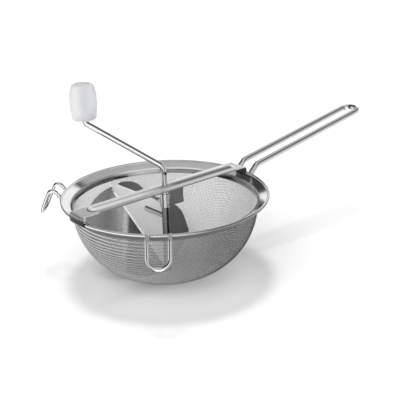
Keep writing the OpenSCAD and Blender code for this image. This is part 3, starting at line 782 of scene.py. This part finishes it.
def ring_profile():
    """Collar with a rounded foot, bend, sloping flange, and the bead round the edge."""
    half = RING_T / 2
    ahead = Vector((cosd(FLANGE_SLOPE), sind(FLANGE_SLOPE)))
    up = Vector((-ahead.y, ahead.x))
    bead = Vector((BEAD_X, BEAD_Z))
    bite = math.degrees(math.asin(half / BEAD_R))
    foot = [(FLANGE_X - half * cosd(a), FLANGE_Z - COLLAR_H + half - half * sind(a))
            for a in range(0, 181, 30)]
    knee = Vector((FLANGE_X, FLANGE_Z))
    lower_from, lower_to = (FLANGE_X + half, BEND_FROM), tuple(bead - ahead * 4 - up * half)
    under = corner(lower_from, tuple(knee - up * half + ahead * 0.2), lower_to, UNDER_BEND, 8)
    arc = [tuple(bead + BEAD_R * Vector((cosd(FLANGE_SLOPE + a), sind(FLANGE_SLOPE + a))))
           for a in np.linspace(180 + bite, 540 - bite, 30)]
    upper_from, upper_to = tuple(bead - ahead * 4 + up * half), (FLANGE_X - half, BEND_FROM)
    over = corner(upper_from, tuple(knee + up * half - ahead * 0.1), upper_to, OVER_BEND, 8)
    return foot + under + arc + over


put("rim_ring_shaped", revolved(ring_profile(), RING_STEPS), RIM, "sieve",
    ["rim_ring"], RING_SHARP)

band_in = CLOTH_R - CLOTH_T - GAP - BAND_T
band = rounded([(band_in, FLANGE_Z - BAND_H, 0.2), (band_in + BAND_T, FLANGE_Z - BAND_H, 0.1),
                (band_in + BAND_T, FLANGE_Z, 0.1), (band_in, FLANGE_Z, 0.2)], 3)
put("clamp_band_shaped", revolved(band, RING_STEPS), BAND, "sieve",
    ["cloth_clamp_band"], RING_SHARP)

# ---- handle and hooks ------------------------------------------------------------------------

ROOT_X = CLOTH_R + RING_T + 3.4
HANDLE_D, HANDLE_GAP, HANDLE_RISE, HANDLE_REACH = 6.5, 21.1, 9.6, 300
HANDLE_TOE, HANDLE_KINK, HANDLE_BENDS = RIM_R + 2, RIM_R + 12.5, [8, 10]
HOOK_D, HOOK_GAP, HOOK_ANGLE = 4.0, 22.0, 131
HOOK_TOE, HOOK_BENDS = RIM_R + 0.8, [4, 6]
HOOK_PEAK, HOOK_TIP = Vector((RIM_R + 10.3, RIM_H + 8.8)), Vector((RIM_R + 25, RIM_H - 25))


def root_z(d):
    """Height of a wire of diameter d where it is welded under the flange."""
    return (FLANGE_Z + (ROOT_X - FLANGE_X) * tand(FLANGE_SLOPE)
            - (d / 2 + RING_T / 2 + GAP) / cosd(FLANGE_SLOPE))


def root_end(d, x):
    """Place at x on the straight line from the root that clears the bead."""
    reach = (BEAD_X - ROOT_X, BEAD_Z - root_z(d))
    slope = math.degrees(math.atan2(reach[1], reach[0])
                         - math.asin((d / 2 + BEAD_R + GAP) / math.hypot(*reach)))
    return (x, root_z(d) + (x - ROOT_X) * tand(slope))


def handle_path():
    toe = root_end(HANDLE_D, HANDLE_TOE)
    kink = (HANDLE_KINK, toe[1] + HANDLE_KINK - toe[0])
    tip_x = HANDLE_REACH - HANDLE_GAP / 2 * cosd(HANDLE_RISE)
    tip = (tip_x, kink[1] + (tip_x - kink[0]) * tand(HANDLE_RISE))
    return bent([(ROOT_X, root_z(HANDLE_D)), toe, kink, tip], HANDLE_BENDS)


def hook_path():
    end = HOOK_TIP - HOOK_GAP / 2 * (HOOK_TIP - HOOK_PEAK).normalized()
    return bent([(ROOT_X, root_z(HOOK_D)), root_end(HOOK_D, HOOK_TOE), tuple(HOOK_PEAK),
                 tuple(end)], HOOK_BENDS)


handle = swept(loop_frames(filled(handle_path(), 12), HANDLE_GAP), HANDLE_D / 2, 32)
put("handle_shaped", handle, CHROME, "sieve", ["handle_loop"], ROUND_SHARP)
hook = swept(loop_frames(filled(hook_path(), 6), HOOK_GAP), HOOK_D / 2, 24)
put("hook_left_shaped", turned(hook, HOOK_ANGLE), CHROME, "sieve",
    ["rest_hook_left"], ROUND_SHARP)
put("hook_front_shaped", turned(hook, -HOOK_ANGLE), CHROME, "sieve",
    ["rest_hook_front"], ROUND_SHARP)

# ---- bridge ----------------------------------------------------------------------------------

BAR_W, BAR_T, BAR_LIFT, BAR_BEND, CLIP_W = 23.0, 1.2, 5.8, 2.5, 24.0
BAR_Z, LEG_X, END_ROUND, BAR_EDGE = RIM_H + BAR_LIFT, 108.5, 4.0, 0.45
SEAT_GAP = 0.3
CLIP_IN_R, CLIP_WRAP = BEAD_R + SEAT_GAP, 100.0
RIB_W, RIB_H, RIB_EASE_IN, RIB_EASE_OUT = 12.0, 2.4, 1.2, 1.0
RIB_R = ((RIB_W / 2) ** 2 + RIB_H ** 2) / (2 * RIB_H)
LEG_FOOT_Z = (FLANGE_Z + (LEG_X - FLANGE_X) * tand(FLANGE_SLOPE)
              + (RING_T / 2 + SEAT_GAP) / cosd(FLANGE_SLOPE))
ROD_HOLE_R = 3.2


def rib_lift(x, y):
    """Pressed rib: the round top of the part's source, eased into the strip at its foot."""
    d = math.hypot(max(abs(x) - RIB_END, 0), y)
    ease_from, ease_to = RIB_W / 2 - RIB_EASE_IN, RIB_W / 2 + RIB_EASE_OUT
    if d > ease_to:
        return 0.0
    top = math.sqrt(RIB_R ** 2 - min(d, ease_from) ** 2) - RIB_R + RIB_H
    if d < ease_from:
        return top
    return top * (1 - (d - ease_from) / (ease_to - ease_from)) ** 2


def end_share(x):
    """0 up to the rib's end, and 1 over the bead."""
    return max(0.0, min(1.0, (abs(x) - RIB_END) / (BEAD_X - RIB_END)))


def half_width(x, z):
    """Half the strip's width: wider towards the clip, rounded at the leg's foot."""
    if x < 0:
        t = end_share(x)
        return BAR_W / 2 + (CLIP_W - BAR_W) / 2 * t * t * (3 - 2 * t)
    over = max(0.0, LEG_FOOT_Z - z + END_ROUND)
    return BAR_W / 2 - END_ROUND + math.sqrt(max(END_ROUND ** 2 - over ** 2, 0.0))


def bar_line():
    """The strip's middle line from the clip's curl over the rim to the leg's foot."""
    lip_x, inner_x = -BEAD_X - CLIP_IN_R, LEG_X - BAR_T
    curl = [(-BEAD_X + CLIP_IN_R * cosd(a), BEAD_Z + CLIP_IN_R * sind(a))
            for a in np.linspace(180 + CLIP_WRAP, 180, 30)]
    over = corner((lip_x, BEAD_Z), (lip_x, BAR_Z), (0, BAR_Z), BAR_BEND, 12)
    down = corner((0, BAR_Z), (inner_x, BAR_Z), (inner_x, LEG_FOOT_Z), BAR_BEND, 12)
    leg = [(inner_x, LEG_FOOT_Z + END_ROUND * k)
           for k in (1, 0.85, 0.7, 0.5, 0.35, 0.2, 0.1, 0.03, 0)]
    rise = filled([(lip_x, BEAD_Z + 0.4)] + over[:1], 1.2)
    run = filled([over[-1], down[0]], 1.6)
    return curl + rise + over[1:] + run[1:] + down[1:] + leg


def bridge_shape():
    """Sections of the ribbed strip with round edges, along its middle line."""
    line = bar_line()
    heads = [d for _, d, _ in path_frames(line)]
    foot = RIB_W / 2 + RIB_EASE_OUT
    inner = [c * RIB_W / 2 for c in np.linspace(0, 1, 9)] + [foot - 0.5, foot]
    rim = [(math.sin(a), math.cos(a)) for a in np.linspace(0, math.pi, 7)][1:-1]
    sections = []
    for (x, z), d in zip(line, heads):
        wide = half_width(x, z) - BAR_EDGE
        cols = inner + [foot + (wide - foot) * k for k in (0.35, 0.7, 1.0)]
        cols = [-c for c in reversed(cols)] + cols[1:]

        def place(y, up):
            bow = (BEAD_X - math.sqrt(BEAD_X ** 2 - y * y)) * end_share(x) if x < 0 else 0.0
            off = up + rib_lift(x, y)
            return Vector((x + bow - d.z * off, y, z + d.x * off))

        loop = [place(y, BAR_T) for y in cols]
        loop += [place(cols[-1] + BAR_EDGE * s, BAR_T / 2 * (1 + t)) for s, t in rim]
        loop += [place(y, 0.0) for y in reversed(cols)]
        loop += [place(cols[0] - BAR_EDGE * s, BAR_T / 2 * (1 - t)) for s, t in rim]
        sections.append(loop)
    n = len(sections[0])
    verts = [v for loop in sections for v in loop]
    faces = [(i * n + k, i * n + (k + 1) % n, (i + 1) * n + (k + 1) % n, (i + 1) * n + k)
             for i in range(len(sections) - 1) for k in range(n)]
    half, side = len(cols), len(rim)
    last = 2 * half + side - 1
    for at in (0, (len(sections) - 1) * n):
        for k in range(half - 1):
            faces.append(tuple(at + q for q in (k, k + 1, last - k - 1, last - k)))
        faces.append(tuple(at + q for q in range(half - 1, half + side + 1)))
        faces.append(tuple(at + q % n for q in range(last, last + side + 2)))
    return verts, faces


def cut_hole(obj, radius, low, high):
    """A round hole through a piece, about the crank's axis."""
    tool = bpy.data.meshes.new("tool")
    bm = bmesh.new()
    bmesh.ops.create_cone(bm, cap_ends=True, segments=48, radius1=radius * MM, radius2=radius * MM,
                          depth=(high - low) * MM,
                          matrix=Matrix.Translation((0, 0, (high + low) / 2 * MM)))
    bm.to_mesh(tool)
    bm.free()
    cutter = bpy.data.objects.new("tool", tool)
    scene.collection.objects.link(cutter)
    mod = obj.modifiers.new("hole", "BOOLEAN")
    mod.object, mod.operation, mod.solver = cutter, "DIFFERENCE", "EXACT"
    graph = bpy.context.evaluated_depsgraph_get()
    done = bpy.data.meshes.new_from_object(obj.evaluated_get(graph))
    obj.modifiers.clear()
    obj.data = done
    done.set_sharp_from_angle(angle=math.radians(SHARP))
    bpy.data.objects.remove(cutter)
    bpy.data.meshes.remove(tool)


bridge = put("bridge_shaped", bridge_shape(), BRIDGE, "bridge", ["bridge_bar"])
cut_hole(bridge, ROD_HOLE_R, BAR_Z - 2, BAR_Z + 8)

# ---- crank, hub and cup ----------------------------------------------------------------------

FLOOR_Z = 1.0
ROD_R, CRANK_R, ARM_RISE, ARM_ANGLE = 3.0, 79.8, 33.0, 142.6
ARM_BEND, ELBOW_BEND = 11, 5.5
ARM_Z = RIM_H + 29.9
ELBOW_Z = ARM_Z + CRANK_R * tand(ARM_RISE)
ELBOW_RUN = ELBOW_BEND * tand((90 - ARM_RISE) / 2)
CUP_FOOT_Z, CUP_H, CUP_R, CUP_WALL, CUP_FLOOR = RIM_H - 15.3, 15.6, 5.25, 0.75, 1.2
HUB_R, HUB_FLOOR, HUB_PLAY = 4.0, 1.5, 0.01
WASHER_Z, WASHER_T = ELBOW_Z + ELBOW_RUN + 0.2, 0.8
KNOB_GAP = 0.3
KNOB_Z = WASHER_Z + WASHER_T + KNOB_GAP
KNOB_H, KNOB_D, KNOB_TOP_D, KNOB_FOOT_D, KNOB_WAIST = 37.0, 28.5, 22.0, 25.0, 0.58
KNOB_BORE_R, KNOB_STEPS = ROD_R + 0.1, 24
GROOVE_OUT, GROOVE_IN, GROOVE_H = (7.6, 7.3), (6.3, 6.6), 0.6
CAP_D, CAP_T, CAP_GAP, CAP_DROP, CAP_DISH_R = 11.0, 2.0, 0.02, 0.1, 4.0
HEAD_ROOM = CAP_T + 4.1
HEAD_Z, HEAD_R, HEAD_T = KNOB_Z + KNOB_H - HEAD_ROOM + KNOB_GAP, 4.5, 1.5

rod_path = bent([(0, FLOOR_Z + HUB_FLOOR), (0, ARM_Z), (CRANK_R, ELBOW_Z),
                 (CRANK_R, HEAD_Z + 1.0)], [ARM_BEND, ELBOW_BEND], 20)
rod = swept(path_frames(filled(rod_path, 15)), ROD_R, 40)
head = rounded([(0, HEAD_Z, 0), (HEAD_R, HEAD_Z, 0.3), (HEAD_R, HEAD_Z + HEAD_T, 0.7),
                (0, HEAD_Z + HEAD_T, 0)], 4)
rod_and_head = joined(rod, turned(revolved(head, 48), 0, (CRANK_R, 0, 0)))
put("crank_rod_shaped", turned(rod_and_head, ARM_ANGLE), CHROME, "crank",
    ["crank_rod"], ROUND_SHARP)

cup_top = CUP_FOOT_Z + CUP_H
cup = rounded([
    (ROD_R, CUP_FOOT_Z, 0), (CUP_R, CUP_FOOT_Z, 0.9), (CUP_R, cup_top, 0.3),
    (CUP_R - CUP_WALL, cup_top, 0.3), (CUP_R - CUP_WALL, CUP_FOOT_Z + CUP_FLOOR, 0),
    (ROD_R, CUP_FOOT_Z + CUP_FLOOR, 0)], 5)
put("spring_cup_shaped", revolved(cup, 64), CHROME, "crank", ["spring_cup"])

hub_top, hub_in = CUP_FOOT_Z - HUB_PLAY, ROD_R + HUB_PLAY
hub = rounded([
    (0, FLOOR_Z, 0), (HUB_R, FLOOR_Z, 0.6), (HUB_R, hub_top, 0), (hub_in, hub_top, 0),
    (hub_in, FLOOR_Z + HUB_FLOOR, 0), (0, FLOOR_Z + HUB_FLOOR, 0)], 5)
put("hub_tube_shaped", revolved(hub, 64), HUB, "crank", ["hub_tube"])

# ---- knob ------------------------------------------------------------------------------------


def barrel_r(t):
    """The barrel's radius at share t of its height."""
    if t < KNOB_WAIST:
        return KNOB_D / 2 - (KNOB_D - KNOB_FOOT_D) / 2 * (1 - t / KNOB_WAIST) ** 2
    return KNOB_D / 2 - (KNOB_D - KNOB_TOP_D) / 2 * ((t - KNOB_WAIST) / (1 - KNOB_WAIST)) ** 2


def knob_profile():
    """Barrel with soft edges, a shallow groove on its top, a bore, and room for the rod's head."""
    side = [(barrel_r(i / KNOB_STEPS), KNOB_H * i / KNOB_STEPS, 0) for i in range(2, 22)]
    groove = [(GROOVE_OUT[0], KNOB_H, 0.3), (GROOVE_OUT[1], KNOB_H - GROOVE_H, 0.25),
              (GROOVE_IN[1], KNOB_H - GROOVE_H, 0.25), (GROOVE_IN[0], KNOB_H, 0.3)]
    room, room_r = KNOB_H - HEAD_ROOM, CAP_D / 2 + CAP_GAP
    return rounded([(KNOB_BORE_R, 0, 0.2), (barrel_r(0), 0, 1.8)] + side
                   + [(barrel_r(1), KNOB_H, 3.2)] + groove
                   + [(room_r, KNOB_H, 0.2), (room_r, room, 0), (KNOB_BORE_R, room, 0)], 6)


def put_on_rod(name, profile, steps, node):
    """A turned piece of the knob, on the rod's upright end."""
    shape = turned(revolved(profile, steps), ARM_ANGLE, (CRANK_R, 0, KNOB_Z))
    put(name, shape, KNOB, "knob", [node])


cap_top = KNOB_H - CAP_DROP
cap = rounded([
    (0, KNOB_H - CAP_T, 0), (CAP_D / 2, KNOB_H - CAP_T, 0), (CAP_D / 2, cap_top, 0.4),
    (CAP_DISH_R, cap_top, 1.0), (CAP_DISH_R - 0.6, KNOB_H - 0.5, 0.6), (0, KNOB_H - 0.55, 0)], 5)
put_on_rod("knob_shaped", knob_profile(), 96, "knob")
put_on_rod("knob_cap_shaped", cap, 64, "knob_cap")

# ---- folds of the paddle ---------------------------------------------------------------------

WEB_ANGLE, WEB_LEN, WEB_TOP_Z, SHEET_T = 91.6, 86.6, RIM_H - 12.0, 1.0
PLATE_TILT, PLATE_TURN = 35.9, -8.5
PLATE_Z = FLOOR_Z + SHEET_T / cosd(PLATE_TILT) + 0.06
PLATE_FOLD_R, PLATE_FOLD_UP, PLATE_FOLD_X = 1.0, 0.5, (6, 91)
LIP_FOLD_R, LIP_FOLD_DROP, LIP_FOLD_SHARES = 0.62, 0.35, (0.2, 0.985)


def straight(start, end):
    """Frames from one point to another."""
    start, end = Vector(start), Vector(end)
    d = (end - start).normalized()
    up = (Vector((0, 1, 0)) - d.y * d).normalized()
    return [(start, d, up), (end, d, up)]


def plate_height(x, y):
    """Height of the press plate's top where it is x along the web and y to its side."""
    return PLATE_Z + tand(PLATE_TILT) * (x * cosd(PLATE_TURN) + y * sind(PLATE_TURN))


fold_y, fold_z = SHEET_T / 2 + 0.35, WEB_TOP_Z - LIP_FOLD_DROP
plate_fold = straight(*((x, fold_y, plate_height(x, fold_y) + PLATE_FOLD_UP)
                        for x in PLATE_FOLD_X))
lip_fold = straight(*((share * WEB_LEN, 0.0, fold_z) for share in LIP_FOLD_SHARES))
folds = joined(swept(plate_fold, PLATE_FOLD_R, 16), swept(lip_fold, LIP_FOLD_R, 16))
put("paddle_folds_shaped", turned(folds, WEB_ANGLE), FOLD, "crank")

# ---- the nodes that stay ---------------------------------------------------------------------

KEPT = {"bearing_bush": CHROME, "pressure_spring": SPRING, "thrust_washer": CHROME,
        "paddle_web": WEB, "web_rib": RIB, "paddle_press_plate": PLATE,
        "paddle_rear_leaf": LEAF, "knob_washer": CHROME}
for node_name, finish in KEPT.items():
    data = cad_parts[node_name].data
    data.materials.clear()
    data.materials.append(finish)

# ---- floor, world and lights -----------------------------------------------------------------

FLOOR_HALF, FLOOR_GRAIN = 6.0, 3.0
FLOOR_LOW, FLOOR_HIGH = (0.93, 0.93, 0.93), (0.95, 0.95, 0.95)

# The studio's light by (elevation in degrees, level), away from SIDE and towards it.
STUDIO_LEFT = [(0, 1.0), (15, 1.0), (18, 0.05), (37, 0.05), (43, 0.46), (90, 0.5)]
STUDIO_RIGHT = [(0, 1.0), (34, 1.0), (35, 0.05), (38, 0.05), (41, 0.42), (90, 0.5)]
SIDES_MEET = (-0.2, 0.2, 0.0, 1.0)
DIMMING = (0.3, 0.9, 1.0, 0.72)


def add_floor():
    bm = bmesh.new()
    bmesh.ops.create_grid(bm, x_segments=24, y_segments=24, size=FLOOR_HALF)
    mesh = bpy.data.meshes.new("floor")
    bm.to_mesh(mesh)
    bm.free()
    obj = bpy.data.objects.new("floor", mesh)
    scene.collection.objects.link(obj)
    n = Nodes("floor_white")
    n.varied("Base Color", n.blended(n.noise(FLOOR_GRAIN), FLOOR_LOW, FLOOR_HIGH))
    n.fixed("Roughness", 0.9)
    n.fixed("Specular IOR Level", 0.0)
    mesh.materials.append(n.material)


def add_world():
    """A white wall low down, a dark gap above it and a pale ceiling, all dimmer towards SIDE."""
    world = bpy.data.worlds.new("studio")
    world.use_nodes = True
    tree = world.node_tree
    tree.nodes.clear()
    add, link = tree.nodes.new, tree.links.new
    place, split, mixed, lit, out = (add("ShaderNode" + k) for k in (
        "TexCoord", "SeparateXYZ", "Mix", "Background", "OutputWorld"))
    link(place.outputs["Generated"], split.inputs[0])
    mixed.data_type = "RGBA"
    for stops, socket in ((STUDIO_LEFT, mixed.inputs[6]), (STUDIO_RIGHT, mixed.inputs[7])):
        ramp = add("ShaderNodeValToRGB")
        elements = ramp.color_ramp.elements
        for i, (degrees, level) in enumerate(stops):
            stop = elements[i] if i < 2 else elements.new(1.0)
            stop.position = sind(degrees)
            stop.color = (level, level, level, 1)
        link(split.outputs["Z"], ramp.inputs["Fac"])
        link(ramp.outputs["Color"], socket)
    side = add("ShaderNodeVectorMath")
    side.operation = "DOT_PRODUCT"
    side.inputs[1].default_value = SIDE
    link(place.outputs["Generated"], side.inputs[0])
    for values, socket in ((SIDES_MEET, mixed.inputs[0]), (DIMMING, lit.inputs["Strength"])):
        share = add("ShaderNodeMapRange")
        for key, value in zip(("From Min", "From Max", "To Min", "To Max"), values):
            share.inputs[key].default_value = value
        link(side.outputs["Value"], share.inputs["Value"])
        link(share.outputs["Result"], socket)
    link(mixed.outputs[2], lit.inputs["Color"])
    link(lit.outputs[0], out.inputs["Surface"])
    scene.world = world


def add_lamp(name, level, angle, source):
    """A lamp far away in the direction source, as wide as angle in degrees, not mirrored."""
    data = bpy.data.lights.new(name, "SUN")
    data.energy = level * math.pi
    data.angle = math.radians(angle)
    obj = bpy.data.objects.new(name, data)
    obj.rotation_euler = Vector(source).to_track_quat("Z", "Y").to_euler()
    obj.visible_glossy = False
    scene.collection.objects.link(obj)


add_floor()
add_world()
add_lamp("key", 0.28, 13.0, (0.07, 0.17, 1.0))
add_lamp("top", 0.22, 140.0, (0.0, 0.0, 1.0))
add_lamp("fill", 0.42, 60.0, (-0.85, -0.25, 0.6))
scene.view_settings.view_transform = "Standard"
